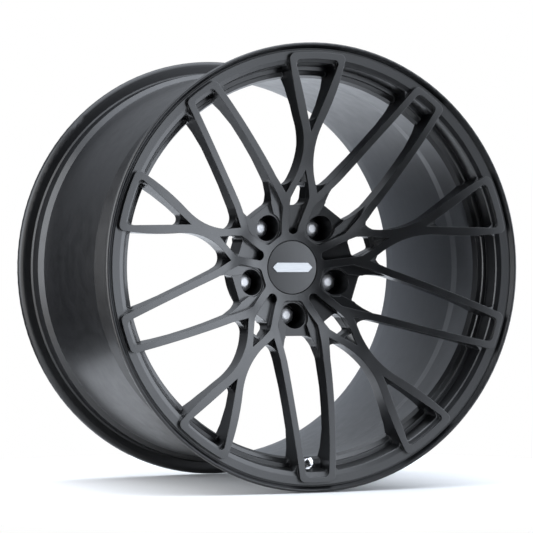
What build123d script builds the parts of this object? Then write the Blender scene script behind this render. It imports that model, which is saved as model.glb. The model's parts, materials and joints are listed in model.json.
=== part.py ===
"""Forged racing wheel rim: centre, barrel, cap, lug nuts and tyre valve.

The parts are drawn with the wheel's axis along local Z, the outboard side up and a forked spoke along +Y.
Depths are measured inboard from the front lip. Each finished piece is turned so that the axis lies along Y,
the outboard side faces -Y and that forked spoke points along +Z. The origin is the centre of the hub's
mounting face.
"""

from build123d import *
from math import cos, hypot, radians, sin
import os

# ---- Driving dimensions, millimetres and degrees ----
WIDTH = 339.9               # front lip to rear flange
LIP_RADIUS = 273.7          # outside of both flanges
MOUNT_DEPTH = 122.0         # front lip to the hub's mounting face
SECTORS = 5
SECTOR = 360 / SECTORS
HALF_SECTOR = SECTOR / 2

BEAD_RADIUS = 256.4         # tyre bead seat at its heel
HUMP_RADIUS = 256.2
WELL_RADIUS = 238.5

SEAT_RADIUS = 251.5         # where the centre sits inside the barrel
SEAT_GAP = 0.05
CENTRE_BACK = 42.8          # depth of the centre's rear shoulder
LEDGE_RADIUS = 265.0
LEDGE_DEPTH = 6.0
LEDGE_BACK = 10.6
PAD_RADIUS = 262.0
PAD_CORNER = 7.0
FORK_PAD = 253.7            # outer ends of the windows inside the pads
PAIR_PAD = 255.5
TOP = -40.0                 # depth at which cutting tools start, in front of the lip
THROUGH = 150.0             # depth at which cutting tools end, behind the hub

LUG_CIRCLE = 60.0           # radius of the lug circle
LUG_BORE = 16.0
LUG_HOLE = 7.5
LUG_SEAT_DEPTH = 110.0
HUB_BORE = 36.3
HUB_BORE_DEPTH = 104.0
HUB_PAD = 73.0
SCALLOP_RADIUS = 30.0        # clearance between the lugs on the back of the hub
SCALLOP_CENTRE = 98.0
CAP_RADIUS = 33.3
CAP_GAP = 0.6
CAP_DEPTH = 79.3
CAP_CROWN = 1.2             # how far the cap's face rises at its centre
CAP_SHOULDER = 84.5
CAP_BORE = 29.5

NUT_FLATS = 19.0
NUT_DEPTH = 96.7            # depth of the nut's outer end
WASHER_RADIUS = 12.4
WASHER_BORE = 8.6
WASHER_THICKNESS = 3.0
RUNNING_GAP = 0.05

VALVE_RADIUS = 246.0        # a point on the valve's axis, in the wall behind the spoke pair
VALVE_DEPTH = 48.0
VALVE_TILT = 19.4
VALVE_HOLE = 5.75
VALVE_SPOT = 8.6            # spot faces either side of the hole
VALVE_GRIP = 13.5           # wall between the spot faces
VALVE_SHAFT = 4.0
CORE_RADIUS = 2.7

BADGE_LENGTH = 54.0
BADGE_HEIGHT = 12.0
BADGE_TOP = CAP_DEPTH - CAP_CROWN - 0.4
BADGE_FLOOR = CAP_DEPTH - 0.2
FORK_TIP = (0, 166)

# ---- Sections, as radius and depth pairs ----
FACE = [(CAP_RADIUS + CAP_GAP, 79.3), (42, 77.7), (94.5, 50.7), (167, 21.6), (PAD_RADIUS, 1.7)]
BACK = [
    (235, CENTRE_BACK), (222, 37.5), (200, 36), (175, 42), (150, 50), (120, 64), (98, 76), (83, 91),
    (79, 98), (79, 111), (HUB_PAD, 117), (HUB_PAD, MOUNT_DEPTH),
]
LEDGE = [(LEDGE_RADIUS + 2, LEDGE_DEPTH - 0.5), (255.1, 7.0), (250.0, 9.5)]
STEPS = [
    (248.8, 11.0), (246.4, 29.5), (241.5, 29.5), (240.5, 31.0), (235.7, 34.0), (232.7, CENTRE_BACK + 0.1),
    (232.7, THROUGH),
]
BARREL_INSIDE = [
    (SEAT_RADIUS + SEAT_GAP, LEDGE_BACK), (SEAT_RADIUS + SEAT_GAP, CENTRE_BACK), (233.5, CENTRE_BACK),
    (235.5, 90), (239.3, 112), (246.5, 300), (248.3, 322), (252.5, 331), (263.5, 334.2), (267.6, 338.4),
]
BARREL_OUTSIDE = [
    (258.4, 328.7), (BEAD_RADIUS, 326.5), (254.9, 312), (HUMP_RADIUS, 308.5), (HUMP_RADIUS, 306.5),
    (250.8, 298), (244.5, 126), (WELL_RADIUS, 88), (WELL_RADIUS, 62), (254.2, 47.2), (HUMP_RADIUS, 43.5),
    (HUMP_RADIUS, 37.5), (254.8, 32), (BEAD_RADIUS, 14.2), (258.4, 12.0),
]


# ---- Small helpers ----
def height(depth):
    """Local height of a depth below the front lip."""
    return MOUNT_DEPTH - depth


def section(points):
    return [(radius, 0, height(depth)) for radius, depth in points]


def ring_solid(points):
    """Solid of revolution from radius and depth pairs."""
    return revolve(make_face(Polyline(*section(points), close=True)), Axis.Z)


def prism(sketch, start, end):
    """Solid over a plan outline between two depths."""
    return extrude(Pos(0, 0, height(end)) * sketch, end - start)


def around(shape, first=0.0):
    """Copies of a shape, one for each sector."""
    return [Rot(0, 0, first - SECTOR * k) * shape for k in range(SECTORS)]


def pair_point(x, y):
    """A point given about a spoke pair's axis, seen from the forked spoke's axis."""
    c, s = cos(radians(HALF_SECTOR)), sin(radians(HALF_SECTOR))
    return (x * c + y * s, y * c - x * s)


def at_radius(shape, radius):
    """Vertices of a sketch that lie on a circle about the axis."""
    return [v for v in shape.vertices() if abs((v.X ** 2 + v.Y ** 2) ** 0.5 - radius) < 0.2]


def limited(outline, radius, corner):
    """A window outline closed by an arc about the axis, with rounded corners there."""
    closed = outline & Circle(radius)
    return fillet(at_radius(closed, radius), corner)


def mirrored(outline):
    return mirror(outline, Plane.YZ)


def sloped(profile, half_width):
    """Cutting tool as wide as a pocket, with its floor drawn as radius and depth pairs."""
    points = [(0, radius, height(depth)) for radius, depth in profile]
    points += [(0, profile[-1][0], height(TOP)), (0, profile[0][0], height(TOP))]
    return extrude(make_face(Polyline(*points, close=True)), half_width, both=True)


# ---- Plan outlines, drawn about the forked spoke's axis unless named otherwise ----
def side_window(root):
    """Window between a forked spoke and a spoke pair, left open at the rim."""
    tip = (21, 92)
    pieces = [
        Line((41.4, 280), (38.6, 262)),
        ThreePointArc((38.6, 262), (29.4, 220), (14.1, 176)),
        ThreePointArc((14.1, 176), (7.6, 142), (13.5, 110)),
        Line((13.5, 110), tip),
        Line(tip, pair_point(-33.7, 113)),
        ThreePointArc(pair_point(-33.7, 113), pair_point(-29.4, 185), pair_point(-23, 262)),
        Line(pair_point(-23, 262), pair_point(-21.3, 280)),
        Line(pair_point(-21.3, 280), (41.4, 280)),
    ]
    outline = make_face(pieces)
    if root > 0:
        corner = outline.vertices().sort_by_distance((*tip, 0))[0]
        outline = fillet(corner, root)
    return outline


def fork_window(root):
    """Triangular window inside a forked spoke, left open at the rim."""
    outline = make_face(Polyline(FORK_TIP, (39.5, 280), (-39.5, 280), close=True))
    return fillet(outline.vertices().sort_by(Axis.Y)[0], root)


def pair_window(root):
    """Long window between the two spokes of a pair, about the pair's own axis."""
    pieces = [Line((-17.5, 85), (17.5, 85)), Line((12.5, 280), (-12.5, 280))]
    for side in (1, -1):
        pieces += [
            Line((17.5 * side, 85), (22 * side, 98)),
            Line((22 * side, 98), (24.6 * side, 112)),
            ThreePointArc((24.6 * side, 112), (21.4 * side, 180), (17.7 * side, 228)),
            Line((17.7 * side, 228), (12.5 * side, 280)),
        ]
    outline = make_face(pieces)
    return fillet(outline.vertices().sort_by(Axis.Y)[:2], root)


def symmetric(corners):
    """Outline with mirrored corners either side of a spoke's axis."""
    return make_face(Polyline(*corners, *[(-x, y) for x, y in reversed(corners)], close=True))


def lug_pocket():
    """Outer step of the pocket around a lug nut, about the pair's axis."""
    outline = symmetric([(24.6, 114), (26.5, 92), (27.2, 72), (11.5, 41.5)])
    outline = fillet(outline.vertices().sort_by(Axis.Y)[2:4], 8)
    return fillet(outline.vertices().sort_by(Axis.Y)[:2], 6)


def lug_floor():
    """Inner step of the pocket around a lug nut, about the pair's axis."""
    slot = symmetric([(20.5, 114), (18.5, 93), (13.5, 68)])
    return slot + Pos(0, LUG_CIRCLE) * Circle(LUG_BORE + 1.8)


def hub_pocket():
    """Pocket in the root of a forked spoke, round at its inner end."""
    return symmetric([(6.0, 105.5), (8.4, 99), (12.6, 86), (11.6, 77), (6.2, 48)]) + Pos(0, 47.8) * Circle(6.3)


def hub_slot():
    """Opening through the floor of the hub pocket."""
    outline = symmetric([(7.6, 101.5), (12.1, 86), (11.2, 77.5)])
    outline = fillet(outline.vertices().sort_by(Axis.Y)[-2:], 3.5)
    return fillet(outline.vertices().sort_by(Axis.Y)[:2], 5)


# ---- Wheel centre ----
def face_depth(point):
    """Depth of the centre's front face at a plan point."""
    radius = hypot(*point)
    for (r0, d0), (r1, d1) in zip(FACE, FACE[1:]):
        if radius <= r1:
            return d0 + (d1 - d0) * (radius - r0) / (r1 - r0)
    return FACE[-1][1]


def valley(tip, left, right, side, floor):
    """Tool for the two-sided relief that runs out at the tip of a window."""
    middle = ((left[0] + right[0]) / 2, (left[1] + right[1]) / 2)
    top = [(*p, height(TOP)) for p in (tip, left, right)]
    low_tip, low_left, low_right = [(*p, height(face_depth(p) + side)) for p in (tip, left, right)]
    low_middle = (*middle, height(face_depth(middle) + floor))
    loops = [
        top,
        [top[0], top[1], low_left, low_tip],
        [top[0], top[2], low_right, low_tip],
        [top[1], top[2], low_right, low_middle, low_left],
        [low_tip, low_left, low_middle],
        [low_tip, low_middle, low_right],
    ]
    return Solid(Shell([Face(Wire.make_polygon(loop, close=True)) for loop in loops]))


def centre_blank():
    """Turned blank of the centre, before its windows are cut."""
    face = Spline(*section(FACE))
    rim = Polyline(*section([
        (PAD_RADIUS, 1.7), (PAD_RADIUS, 4), (LEDGE_RADIUS, 4), (LEDGE_RADIUS, LEDGE_BACK),
        (SEAT_RADIUS, LEDGE_BACK), (SEAT_RADIUS, CENTRE_BACK), (235, CENTRE_BACK),
    ]))
    back = Polyline(*section(BACK))
    bores = Polyline(*section([
        (HUB_PAD, MOUNT_DEPTH), (HUB_BORE, MOUNT_DEPTH), (HUB_BORE, HUB_BORE_DEPTH), (CAP_BORE, HUB_BORE_DEPTH),
        (CAP_BORE, CAP_SHOULDER), (CAP_RADIUS + CAP_GAP, CAP_SHOULDER), (CAP_RADIUS + CAP_GAP, 79.3),
    ]))
    return revolve(make_face([*face.edges(), *rim.edges(), *back.edges(), *bores.edges()]), Axis.Z)


def window_tool(outline, corners):
    """Window through the stepped ring behind the pads, with rounded corners below each step."""
    inside = ring_solid([(10, THROUGH), (10, TOP), (246, TOP), (246, 8.5), (250.8, 8.5)] + STEPS)
    upper = prism(limited(outline, 251.5, corners[0]), TOP, 29.5)
    lower = prism(limited(outline, 243.5, corners[1]), 29, THROUGH)
    return (upper + lower) & inside


def rim_recess():
    """Everything cut from the rim of the blank in front of its ledge, around and inside the pads."""
    side = around(side_window(0)) + around(mirrored(side_window(0)))
    pads = Circle(PAD_RADIUS) - side
    pads = fillet(at_radius(pads, PAD_RADIUS), PAD_CORNER)
    pads -= around(limited(fork_window(6.8), FORK_PAD, 5))
    pads -= around(limited(pair_window(6), PAIR_PAD, 6), -HALF_SECTOR)
    front = ring_solid([(235, 9.5), (235, TOP), (LEDGE_RADIUS + 2, TOP)] + LEDGE)
    return prism(Circle(LEDGE_RADIUS + 1) - pads, TOP, 12) & front


def windows():
    side = window_tool(side_window(12), (10, 9))
    fork = window_tool(fork_window(6.8), (9, 8))
    pair = window_tool(pair_window(6), (7, 8))
    return around(side) + around(mirror(side, Plane.YZ)) + around(fork) + around(pair, -HALF_SECTOR)


def reliefs():
    side = valley((21, 92), (13.7, 109.5), (34.0, 105.8), 4, 12)
    fork = valley(FORK_TIP, (-6.8, 185.6), (6.8, 185.6), 3, 9)
    root = valley((0, 120), (-6.4, 104), (6.4, 104), 2, 8)
    return around(side) + around(mirror(side, Plane.YZ)) + around(fork) + around(root)


def hub_cuts():
    pocket = prism(hub_pocket(), TOP, THROUGH) & sloped([(30, 93), (120, 49)], 20)
    slot = prism(hub_slot(), TOP, THROUGH)
    scallop = prism(Pos(0, SCALLOP_CENTRE) * Circle(SCALLOP_RADIUS), 102, THROUGH)
    step = prism(lug_pocket(), TOP, THROUGH) & sloped([(30, 84.5), (130, 42.5)], 40)
    floor = prism(lug_floor(), TOP, THROUGH) & sloped([(30, 84), (130, 55)], 40)
    bore = prism(Pos(0, LUG_CIRCLE) * Circle(LUG_BORE), TOP, LUG_SEAT_DEPTH)
    hole = prism(Pos(0, LUG_CIRCLE) * Circle(LUG_HOLE), TOP, THROUGH)
    cuts = [around(shape) for shape in (pocket, slot, scallop)]
    cuts += [around(shape, -HALF_SECTOR) for shape in (step, floor, bore, hole)]
    return cuts


def wheel_centre():
    body = centre_blank() - rim_recess()
    body -= windows()
    body -= reliefs()
    for group in hub_cuts():
        body -= group
    body -= valve_tool(VALVE_HOLE, -20, 40) + valve_tool(VALVE_SPOT, VALVE_GRIP, 60)
    return body


# ---- Barrel ----
def rim_barrel():
    front = [
        Line((265.2, LEDGE_BACK), (265.2, 6.7)),
        Line((265.2, 6.7), (266.8, 6.7)),
        Line((266.8, 6.7), (270.4, 0.5)),
        ThreePointArc((270.4, 0.5), (271.4, 0), (272.4, 0.4)),
        ThreePointArc((272.4, 0.4), (273.35, 1.3), (LIP_RADIUS, 2.6)),
        Line((LIP_RADIUS, 2.6), (LIP_RADIUS, 4.6)),
        ThreePointArc((LIP_RADIUS, 4.6), (271.6, 9.8), (266.4, 12)),
        Line((266.4, 12), BARREL_OUTSIDE[-1]),
    ]
    rear = [
        Line(BARREL_OUTSIDE[0], (266.4, 328.7)),
        ThreePointArc((266.4, 328.7), (271.6, 330.9), (LIP_RADIUS, 336.1)),
        Line((LIP_RADIUS, 336.1), (LIP_RADIUS, 337.6)),
        ThreePointArc((LIP_RADIUS, 337.6), (273.1, 339.2), (271.5, WIDTH)),
        Line((271.5, WIDTH), BARREL_INSIDE[-1]),
    ]
    inside = Polyline((265.2, LEDGE_BACK), *BARREL_INSIDE)
    outside = Polyline(*BARREL_OUTSIDE)
    profile = make_face([*front, *rear, *inside.edges(), *outside.edges()])
    upright = Plane((0, 0, MOUNT_DEPTH), x_dir=(1, 0, 0), z_dir=(0, 1, 0))
    barrel = revolve(upright * profile, Axis.Z)
    return barrel - (valve_tool(VALVE_HOLE, -20, 40) + valve_tool(VALVE_SPOT, -30, 0))


# ---- Centre cap ----
def centre_cap():
    """Crowned cap with six sprung legs."""
    floor = CAP_DEPTH + 3
    edge = CAP_RADIUS - 0.7
    crown = ThreePointArc(*section([
        (0, CAP_DEPTH - CAP_CROWN), (edge / 2, CAP_DEPTH - 0.75 * CAP_CROWN), (edge, CAP_DEPTH),
    ]))
    sides = Polyline(*section([
        (edge, CAP_DEPTH), (CAP_RADIUS, CAP_DEPTH + 0.7), (CAP_RADIUS, CAP_SHOULDER), (31.4, CAP_SHOULDER),
        (31.4, floor), (0, floor), (0, CAP_DEPTH - CAP_CROWN),
    ]))
    shell = revolve(make_face([crown, *sides.edges()]), Axis.Z)
    leg = ring_solid([
        (27.4, floor), (27.4, 95.8), (26.2, 96.2), (26.2, 96.9), (27.4, 97.1), (27.4, 98.9), (26.2, 99.1),
        (26.2, 99.8), (27.4, 100.2), (27.4, 103), (28.4, 103), (29.1, 101), (29.1, 99), (28.4, 97), (28.4, floor),
    ])
    slots = [Rot(0, 0, 60 * k) * Pos(30, 0, height(94.2)) * Box(16, 9, 17.6) for k in range(6)]
    recess = prism(badge_outline(BADGE_LENGTH + 0.2, BADGE_HEIGHT + 0.2), TOP, BADGE_FLOOR)
    return shell + (leg - slots) - recess


def badge_outline(length, width):
    nose = length / 2 - width / 2
    half = width / 2
    return make_face(Polyline(
        (-length / 2, 0), (-nose, half), (nose, half), (length / 2, 0), (nose, -half), (-nose, -half), close=True))


def cap_badge():
    plate = prism(badge_outline(BADGE_LENGTH, BADGE_HEIGHT), BADGE_TOP, BADGE_FLOOR)
    return chamfer(plate.edges().group_by(Axis.Z)[-1], 0.3)


def cap_spring_ring():
    wire = Plane.XZ * Pos(26.5, height(98)) * Circle(0.9)
    return revolve(wire, Axis.Z, 344)


# ---- Lug nuts ----
def lug_nut():
    """Closed nut with a flange and a short neck that carries its washer."""
    top = height(NUT_DEPTH)
    base = height(LUG_SEAT_DEPTH - WASHER_THICKNESS)
    hexagon = extrude(Pos(0, 0, base) * RegularPolygon(NUT_FLATS / 2, 6, major_radius=False), top - base)
    envelope = make_face([
        Line((0, 0, base), (12, 0, base)),
        Line((12, 0, base), (12, 0, top - 3.4)),
        Line((12, 0, top - 3.4), (9.4, 0, top - 1.8)),
        ThreePointArc((9.4, 0, top - 1.8), (6.5, 0, top - 0.5), (0, 0, top)),
        Line((0, 0, top), (0, 0, base)),
    ])
    seat = LUG_SEAT_DEPTH - WASHER_THICKNESS
    end = LUG_SEAT_DEPTH - 0.5
    neck = WASHER_BORE - RUNNING_GAP
    flange = ring_solid([
        (0, seat - 2.6), (10.6, seat - 2.6), (11.8, seat - 1.6), (11.8, seat), (neck, seat), (neck, end), (0, end),
    ])
    thread = ring_solid([(0, 98.5), (6.2, 101), (6.2, end - 1.3), (7.5, end + 0.1), (0, end + 0.1)])
    return (hexagon & revolve(envelope, Axis.Z)) + flange - thread


def lug_seat():
    """Flat washer held by the nut's neck, bearing on the floor of the lug bore."""
    top = LUG_SEAT_DEPTH - WASHER_THICKNESS
    return ring_solid([
        (WASHER_BORE, top), (WASHER_RADIUS - 0.5, top), (WASHER_RADIUS, top + 0.5), (WASHER_RADIUS, LUG_SEAT_DEPTH),
        (WASHER_BORE, LUG_SEAT_DEPTH),
    ])


def at_lug(shape, index):
    """A shape moved from the wheel's axis to one lug, numbered clockwise from the top."""
    angle = -HALF_SECTOR - SECTOR * index
    return Rot(0, 0, angle) * Pos(0, LUG_CIRCLE, 0) * Rot(0, 0, 11 * index) * shape


# ---- Tyre valve ----
# Its parts are drawn along their own axis, from zero at the sealing face on the tyre side.
def on_valve_axis(shape):
    tilt = Rot(-VALVE_TILT, 0, 0)
    return Pos(0, -VALVE_RADIUS, height(VALVE_DEPTH)) * tilt * shape


def valve_ring(points):
    """Solid turned about the valve's axis from radius and height pairs."""
    return revolve(make_face(Polyline(*[(r, 0, h) for r, h in points], close=True)), Axis.Z)


def valve_tool(radius, low, high):
    return on_valve_axis(valve_ring([(0, low), (radius, low), (radius, high), (0, high)]))


def valve_stem():
    shaft = VALVE_SHAFT
    return valve_ring([
        (1.5, -6), (6.8, -6), (7.8, -5.2), (7.8, -3), (shaft, -3), (shaft, 18.6), (3.85, 19), (3.85, 24.6),
        (3.45, 25), (2.9, 25), (CORE_RADIUS + 0.05, 24.7), (CORE_RADIUS + 0.05, 10), (1.5, 9),
    ])


def valve_grommet():
    return valve_ring([
        (VALVE_SHAFT, -3), (7.8, -3), (8.1, -1.5), (7.6, 0), (VALVE_HOLE, 0), (VALVE_HOLE, 3.5),
        (VALVE_SHAFT + 0.6, 4.2), (VALVE_SHAFT, 4.2),
    ])


def valve_washer():
    return valve_ring([
        (VALVE_SHAFT + 0.2, VALVE_GRIP), (7, VALVE_GRIP), (7, VALVE_GRIP + 1), (6.6, VALVE_GRIP + 1.4),
        (VALVE_SHAFT + 0.2, VALVE_GRIP + 1.4),
    ])


def valve_nut():
    low = VALVE_GRIP + 1.4
    body = extrude(Pos(0, 0, low) * RegularPolygon(5.6, 6, major_radius=False), 4)
    body = body & valve_ring([(0, low), (6.6, low), (6.6, low + 3.3), (5.7, low + 4), (0, low + 4)])
    return body - valve_ring([(0, 0), (VALVE_SHAFT + 0.05, 0), (VALVE_SHAFT + 0.05, 30), (0, 30)])


def valve_core_body():
    return valve_ring([
        (0.65, 13), (2.3, 13), (CORE_RADIUS, 13.6), (CORE_RADIUS, 24.2), (1.75, 24.2), (1.75, 16), (0.65, 16),
    ])


def valve_core_pin():
    return valve_ring([
        (0, 11.8), (1.4, 11.8), (1.6, 12.1), (1.6, 13), (0.6, 13), (0.6, 21), (1.7, 21), (1.7, 21.9), (0.6, 21.9),
        (0.6, 24.2), (0.4, 24.5), (0, 24.5),
    ])


def valve_spring():
    wire = 0.16
    low = 16 + wire
    coil = Helix(pitch=0.93, height=21 - 16 - 2 * wire, radius=1.18)
    start = Plane(coil @ 0, z_dir=coil % 0)
    return Pos(0, 0, low) * sweep(start * Circle(wire), path=coil)


def valve_cap():
    body = valve_ring([
        (3.9, 19.6), (4.7, 19.6), (4.9, 20), (4.9, 25.6), (4.3, 26.6), (2.4, 27.1), (0, 27.2), (0, 25.8), (3.9, 25.8),
    ])
    flutes = [Rot(0, 0, 30 * k) * Pos(5.35, 0, 22.6) * Cylinder(0.7, 5.2) for k in range(12)]
    return body - flutes


def valve_cap_seal():
    return valve_ring([(1.6, 25), (3.6, 25), (3.6, 25.8), (1.6, 25.8)])


# ---- Write every piece in the shared frame ----
def export(name, shape):
    export_step(Rot(90, 0, 0) * shape, f"parts/{name}.step")


def main():
    os.makedirs("parts", exist_ok=True)
    export("wheel_centre", wheel_centre())
    export("rim_barrel", rim_barrel())
    for make in (centre_cap, cap_badge, cap_spring_ring):
        export(make.__name__, make())
    for index in range(SECTORS):
        export(f"lug_nut_{index + 1}", at_lug(lug_nut(), index))
        export(f"lug_seat_{index + 1}", at_lug(lug_seat(), index))
    for make in (
        valve_stem, valve_grommet, valve_washer, valve_nut, valve_core_body, valve_core_pin, valve_spring,
        valve_cap, valve_cap_seal,
    ):
        export(make.__name__, on_valve_axis(make()))


main()
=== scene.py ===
"""Looks for the forged wheel rim: paint, metal and rubber, soft studio light and the camera.

Everything is in metres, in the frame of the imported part: +Y inboard along the wheel's axis, +Z up.
"""

import json
import math

import bpy
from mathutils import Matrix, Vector


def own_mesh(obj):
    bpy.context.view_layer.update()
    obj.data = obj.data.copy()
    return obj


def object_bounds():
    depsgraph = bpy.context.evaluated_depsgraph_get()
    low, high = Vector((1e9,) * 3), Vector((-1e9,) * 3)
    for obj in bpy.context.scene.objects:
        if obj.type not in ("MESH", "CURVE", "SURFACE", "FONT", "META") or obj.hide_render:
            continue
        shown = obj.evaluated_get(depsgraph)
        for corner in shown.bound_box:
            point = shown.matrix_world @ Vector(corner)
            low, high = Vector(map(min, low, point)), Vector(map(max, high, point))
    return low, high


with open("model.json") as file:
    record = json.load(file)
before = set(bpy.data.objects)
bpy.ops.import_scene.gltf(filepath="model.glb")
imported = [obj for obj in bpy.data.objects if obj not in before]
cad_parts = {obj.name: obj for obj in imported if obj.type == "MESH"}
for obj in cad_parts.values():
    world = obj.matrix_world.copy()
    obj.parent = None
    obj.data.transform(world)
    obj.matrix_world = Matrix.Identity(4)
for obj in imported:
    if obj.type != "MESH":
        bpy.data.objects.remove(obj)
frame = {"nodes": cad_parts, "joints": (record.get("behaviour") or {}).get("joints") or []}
cad_low, cad_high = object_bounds()
NODES = frame["nodes"]
SCENE = bpy.context.scene

# ---- Camera: where the photograph was taken from ----
CAMERA_AT = (-1.3550, -3.0976, -0.0059)
CAMERA_AIM = (0.3967, 0.9180, 0.0021)
LENS_MM = 181.6
SENSOR_MM = 36.0

CAMERA_REACH = 100.0

# ---- Floor ----
FLOOR_RADIUS = 0.60
FLOOR_SIDES = 128
FLOOR_GAP = 0.0005
FLOOR_DARK = (0.62, 0.62, 0.62)
FLOOR_LIGHT = (0.66, 0.66, 0.66)

# ---- Light: a dim studio with soft boxes and one card outside the barrel ----
AMBIENT = 0.015
COOL_WHITE = (0.94, 1.00, 1.09)
# Each soft box: the way to it, the cosines at which it fades in and is full, and its strength.
SOFT_BOXES = [
    ((0.925, -0.337, 0.174), 0.36, 1.00, 3.8),
    ((-0.960, 0.120, 0.250), 0.80, 0.97, 4.0),
    ((0.150, 0.910, 0.390), 0.80, 1.00, 0.45),
    ((0.350, 0.840, -0.420), 0.84, 1.00, 1.30),
    ((0.000, 0.000, 1.000), 0.62, 0.95, 4.0),
]
CARD_AT = (-0.52, -0.02, 0.05)
CARD_AIM = (0.0, -0.02, 0.0)
CARD_SIZE = (0.60, 0.80)
CARD_POWER = 4

# ---- Paint ----
SATIN_DARK = (0.0030, 0.0032, 0.0037)
SATIN_LIGHT = (0.0042, 0.0044, 0.0051)
# Painted light: a lighter grey painted on the barrel's inside, standing in for the light that falls there
INSIDE_PAINTED_LIGHT = (0.092, 0.096, 0.103)
PAINTED_LIGHT_FRONT = (-0.090, -0.080)     # where along Y the painted light on the barrel's inside begins
PAINTED_LIGHT_FACING = (-0.5, -0.9)        # how squarely a face looks at the axis before it gets the painted light
AXIS_SCALE = (4, 0, 4)              # makes a place inside the barrel a vector about as long as one

NOISE_LOW = 0.3                     # noise seldom leaves this band
NOISE_HIGH = 0.7


# ---- Node helpers ----
def of_kind(sockets, kind):
    """The sockets of one kind, since a Mix node has some for every kind of value."""
    return [socket for socket in sockets if socket.type == kind]


def colour_mix(tree, factor, first, second):
    """Blends two colours, each a socket or a plain colour, and gives the socket of the result."""
    mix = tree.nodes.new("ShaderNodeMix")
    mix.data_type = "RGBA"
    tree.links.new(factor, mix.inputs["Factor"])
    for socket, colour in zip(of_kind(mix.inputs, "RGBA"), (first, second)):
        if isinstance(colour, tuple):
            socket.default_value = (*colour, 1)
        else:
            tree.links.new(colour, socket)
    return of_kind(mix.outputs, "RGBA")[0]


def fade(tree, value, start, full):
    """A node that rises from 0 at start to 1 at full, with the value's socket as its input."""
    node = tree.nodes.new("ShaderNodeMapRange")
    node.inputs["From Min"].default_value = start
    node.inputs["From Max"].default_value = full
    tree.links.new(value, node.inputs["Value"])
    return node


def combine(tree, operation, first, second):
    """The sum or product of two sockets, or of a socket and a number."""
    node = tree.nodes.new("ShaderNodeMath")
    node.operation = operation
    tree.links.new(first, node.inputs[0])
    if isinstance(second, float):
        node.inputs[1].default_value = second
    else:
        tree.links.new(second, node.inputs[1])
    return node.outputs["Value"]


class Shader:
    """A small wrapper that builds one procedural material."""

    def __init__(self, name, **inputs):
        self.material = bpy.data.materials.new(name)
        self.material.use_nodes = True
        self.tree = self.material.node_tree
        self.tree.nodes.clear()
        output = self.add("ShaderNodeOutputMaterial")
        self.bsdf = self.add("ShaderNodeBsdfPrincipled")
        self.link(self.bsdf, "BSDF", output, "Surface")
        for key, value in inputs.items():
            socket = key.replace("_", " ").title().replace("Ior", "IOR")
            self.bsdf.inputs[socket].default_value = value
        self.place = self.add("ShaderNodeTexCoord")

    def add(self, kind, **values):
        node = self.tree.nodes.new(kind)
        for key, value in values.items():
            setattr(node, key, value)
        return node

    def link(self, a, output, b, socket):
        self.tree.links.new(a.outputs[output], b.inputs[socket])

    def noise(self, scale, detail=2.0, roughness=0.5, stretch=None):
        node = self.add("ShaderNodeTexNoise")
        node.inputs["Scale"].default_value = scale
        node.inputs["Detail"].default_value = detail
        node.inputs["Roughness"].default_value = roughness
        if stretch:
            mapping = self.add("ShaderNodeMapping")
            mapping.inputs["Scale"].default_value = stretch
            self.link(self.place, "Object", mapping, "Vector")
            self.link(mapping, "Vector", node, "Vector")
        else:
            self.link(self.place, "Object", node, "Vector")
        return node

    def spread(self, source, output, low, high):
        """Maps a noise value onto a range."""
        node = self.add("ShaderNodeMapRange")
        node.inputs["From Min"].default_value = NOISE_LOW
        node.inputs["From Max"].default_value = NOISE_HIGH
        node.inputs["To Min"].default_value = low
        node.inputs["To Max"].default_value = high
        self.link(source, output, node, "Value")
        return node

    def tint(self, source, dark, light):
        """Clouds the colour between two shades, and gives the socket that carries it."""
        ramp = self.add("ShaderNodeValToRGB")
        low_end, high_end = ramp.color_ramp.elements
        low_end.position, high_end.position = NOISE_LOW, NOISE_HIGH
        low_end.color, high_end.color = (*dark, 1), (*light, 1)
        self.link(source, "Fac", ramp, "Fac")
        self.link(ramp, "Color", self.bsdf, "Base Color")
        return ramp.outputs["Color"]

    def rough(self, source, low, high):
        """Varies the roughness over a range."""
        self.link(self.spread(source, "Fac", low, high), "Result", self.bsdf, "Roughness")

    def surface(self, source, strength, depth, edge=0.0):
        """Fine relief, over edges rounded by shading where edge is a radius."""
        bump = self.add("ShaderNodeBump")
        bump.inputs["Strength"].default_value = strength
        bump.inputs["Distance"].default_value = depth
        self.link(source, "Fac", bump, "Height")
        if edge:
            bevel = self.add("ShaderNodeBevel", samples=6)
            bevel.inputs["Radius"].default_value = edge
            self.link(bevel, "Normal", bump, "Normal")
        self.link(bump, "Normal", self.bsdf, "Normal")


def satin_paint(name, dark, light, roughness, edge, gloss=0.5, coat=0.35):
    """Satin paint with a thin clear coat and a faint orange peel."""
    s = Shader(name, coat_weight=coat, coat_roughness=0.18, specular_ior_level=gloss)
    s.tint(s.noise(scale=26, detail=3), dark, light)
    s.rough(s.noise(scale=60, detail=4), roughness - 0.03, roughness + 0.04)
    s.surface(s.noise(scale=2600), strength=0.12, depth=0.00004, edge=edge)
    return s


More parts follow.
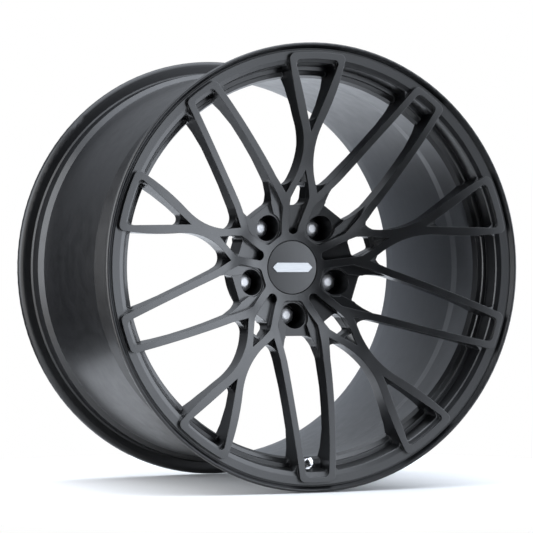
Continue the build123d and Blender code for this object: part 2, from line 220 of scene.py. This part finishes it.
def barrel_paint_with_painted_light(name, dark, light, inside, roughness, edge):
    """Satin paint with painted light: faces of the barrel turned towards the axis, behind its front, get a
    lighter grey that stands in for the light falling inside the barrel.
    """
    s = satin_paint(name, dark, light, roughness, edge, gloss=0.34, coat=0.12)
    paint = s.bsdf.inputs["Base Color"].links[0].from_socket
    # Painted light: from here a lighter grey is blended onto the inside faces in place of light falling on
    # them
    outward = s.add("ShaderNodeVectorMath", operation="MULTIPLY")
    outward.inputs[1].default_value = AXIS_SCALE
    s.link(s.place, "Object", outward, "Vector")
    facing = s.add("ShaderNodeVectorMath", operation="DOT_PRODUCT")
    s.tree.links.new(outward.outputs["Vector"], facing.inputs[0])
    s.tree.links.new(s.place.outputs["Normal"], facing.inputs[1])
    turned = fade(s.tree, facing.outputs["Value"], *PAINTED_LIGHT_FACING)
    split = s.add("ShaderNodeSeparateXYZ")
    s.link(s.place, "Object", split, "Vector")
    behind = fade(s.tree, split.outputs["Y"], *PAINTED_LIGHT_FRONT)
    painted_light_mask = combine(s.tree, "MULTIPLY", turned.outputs["Result"], behind.outputs["Result"])
    s.tree.links.new(colour_mix(s.tree, painted_light_mask, paint, inside), s.bsdf.inputs["Base Color"])
    return s


def polished_metal(name, dark, light, roughness, edge):
    """Bright metal with an almost even polish."""
    s = Shader(name, metallic=1.0)
    s.tint(s.noise(scale=300, detail=3), dark, light)
    s.rough(s.noise(scale=900, detail=3), roughness * 0.8, roughness * 1.3)
    s.surface(s.noise(scale=4000), strength=0.1, depth=0.00002, edge=edge)
    return s


def brushed_metal(name, dark, light, roughness, stretch):
    """Metal with fine streaks, long on the axes where stretch is small."""
    s = Shader(name, metallic=1.0)
    streaks = s.noise(scale=60, detail=4, roughness=0.6, stretch=stretch)
    s.tint(streaks, dark, light)
    s.rough(streaks, roughness - 0.05, roughness + 0.08)
    s.surface(streaks, strength=0.15, depth=0.00003, edge=0.0001)
    return s


def moulded(name, dark, light, roughness, grain, gloss=0.45):
    """Moulded plastic or rubber with a fine grain."""
    s = Shader(name, specular_ior_level=gloss)
    s.tint(s.noise(scale=80, detail=3), dark, light)
    s.rough(s.noise(scale=200, detail=3), roughness - 0.04, roughness + 0.05)
    s.surface(s.noise(scale=grain, detail=3, roughness=0.6), strength=0.25, depth=0.00005, edge=0.0003)
    return s


# ---- Materials on the pieces ----
MATERIALS = {
    "centre": satin_paint("satin_black_centre", SATIN_DARK, SATIN_LIGHT, 0.33, 0.0012),
    # The barrel's material paints light onto its inside: a lighter grey in place of light falling there
    "barrel": barrel_paint_with_painted_light("satin_black_barrel_painted_light_inside", SATIN_DARK, SATIN_LIGHT, INSIDE_PAINTED_LIGHT, 0.35, 0.0010),
    "cap": moulded(
        "satin_black_cap", (0.0045, 0.0047, 0.0053), (0.0060, 0.0062, 0.0068), 0.38, grain=5200, gloss=0.85),
    "badge": brushed_metal("brushed_badge", (0.40, 0.41, 0.42), (0.52, 0.53, 0.54), 0.34, (1, 30, 30)),
    "wire": brushed_metal("spring_wire", (0.45, 0.45, 0.46), (0.55, 0.55, 0.56), 0.35, (6, 6, 30)),
    "nut": polished_metal("polished_nut", (0.80, 0.80, 0.81), (0.90, 0.90, 0.91), 0.42, 0.0008),
    "washer": brushed_metal("washer_steel", (0.42, 0.42, 0.43), (0.52, 0.52, 0.53), 0.32, (30, 30, 4)),
    "chrome": polished_metal("valve_chrome", (0.70, 0.70, 0.71), (0.80, 0.80, 0.81), 0.10, 0.0002),
    "brass": polished_metal("valve_brass", (0.60, 0.44, 0.17), (0.70, 0.53, 0.23), 0.25, 0.0001),
    "rubber": moulded("seal_rubber", (0.012, 0.012, 0.012), (0.018, 0.018, 0.018), 0.68, grain=3000),
}
WEARERS = {
    "centre": ["wheel_centre"],
    "barrel": ["rim_barrel"],
    "cap": ["centre_cap"],
    "badge": ["cap_badge"],
    "wire": ["cap_spring_ring", "valve_spring"],
    "nut": [f"lug_nut_{index}" for index in range(1, 6)],
    "washer": [f"lug_seat_{index}" for index in range(1, 6)],
    "chrome": ["valve_stem", "valve_washer", "valve_nut", "valve_cap"],
    "brass": ["valve_core_body", "valve_core_pin"],
    "rubber": ["valve_grommet", "valve_cap_seal"],
}
for kind, wearers in WEARERS.items():
    for wearer in wearers:
        for place in NODES[wearer].material_slots:
            place.material = MATERIALS[kind].material


# ---- The valve's spring, which really shortens as its pin goes in: here its points are only ordered along the press ----
def squash_spring():
    """Orders the spring's points along the pin's press and gives the spring its own mesh; the spring is not
    moved.
    """
    press = next(joint for joint in frame["joints"] if joint["name"] == "valve_pin_press")
    inward = Vector(press["axis"])
    spring = NODES["valve_spring"]
    points = [spring.matrix_world @ vertex.co for vertex in spring.data.vertices]
    points.sort(key=inward.dot)
    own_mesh(spring)


squash_spring()


# ---- Floor, light and camera ----
def make_floor():
    """A round floor just under the wheel."""
    mesh = bpy.data.meshes.new("floor")
    level = cad_low.z - FLOOR_GAP
    steps = [2 * math.pi * k / FLOOR_SIDES for k in range(FLOOR_SIDES)]
    ring = [(FLOOR_RADIUS * math.cos(a), FLOOR_RADIUS * math.sin(a), level) for a in steps]
    mesh.from_pydata(ring, [], [range(FLOOR_SIDES)])
    floor = bpy.data.objects.new("floor", mesh)
    SCENE.collection.objects.link(floor)
    s = Shader("pale_floor", roughness=0.7)
    s.tint(s.noise(scale=3, detail=3), FLOOR_DARK, FLOOR_LIGHT)
    mesh.materials.append(s.material)


def towards(direction):
    """The rotation that turns a camera or a light to face along a direction."""
    return Vector(direction).to_track_quat("-Z", "Y").to_euler()


def make_card():
    """A soft card beside the barrel, which the camera doesn't see."""
    data = bpy.data.lights.new("side_card", "AREA")
    data.shape = "RECTANGLE"
    data.size, data.size_y = CARD_SIZE
    data.energy = CARD_POWER
    card = bpy.data.objects.new("side_card", data)
    card.visible_camera = False
    card.location = CARD_AT
    card.rotation_euler = towards(Vector(CARD_AIM) - Vector(CARD_AT))
    SCENE.collection.objects.link(card)


def make_world():
    """Surroundings that light the object through soft boxes and look plain white behind it."""
    world = bpy.data.worlds.new("studio")
    world.use_nodes = True
    tree = world.node_tree
    background = tree.nodes["Background"]
    place = tree.nodes.new("ShaderNodeTexCoord")
    total = AMBIENT
    for direction, start, full, strength in SOFT_BOXES:
        facing = tree.nodes.new("ShaderNodeVectorMath")
        facing.operation = "DOT_PRODUCT"
        facing.inputs[1].default_value = direction
        tree.links.new(place.outputs["Generated"], facing.inputs[0])
        box = fade(tree, facing.outputs["Value"], start, full)
        box.interpolation_type = "SMOOTHSTEP"
        box.inputs["To Max"].default_value = strength
        total = combine(tree, "ADD", box.outputs["Result"], total)
    seen = tree.nodes.new("ShaderNodeLightPath").outputs["Is Camera Ray"]
    level = tree.nodes.new("ShaderNodeMix")
    tree.links.new(seen, level.inputs["Factor"])
    tree.links.new(total, level.inputs["A"])
    level.inputs["B"].default_value = 1.0
    tree.links.new(level.outputs["Result"], background.inputs["Strength"])
    tree.links.new(colour_mix(tree, seen, COOL_WHITE, (1, 1, 1)), background.inputs["Color"])
    SCENE.world = world


def make_camera():
    """The camera, with a long lens, left of the wheel's axis."""
    data = bpy.data.cameras.new("camera")
    data.lens = LENS_MM
    data.sensor_width = SENSOR_MM
    data.clip_end = CAMERA_REACH
    camera = bpy.data.objects.new("camera", data)
    camera.location = CAMERA_AT
    camera.rotation_euler = towards(CAMERA_AIM)
    SCENE.collection.objects.link(camera)
    SCENE.camera = camera


make_floor()
make_world()
make_card()
make_camera()
SCENE.view_settings.view_transform = "Standard"
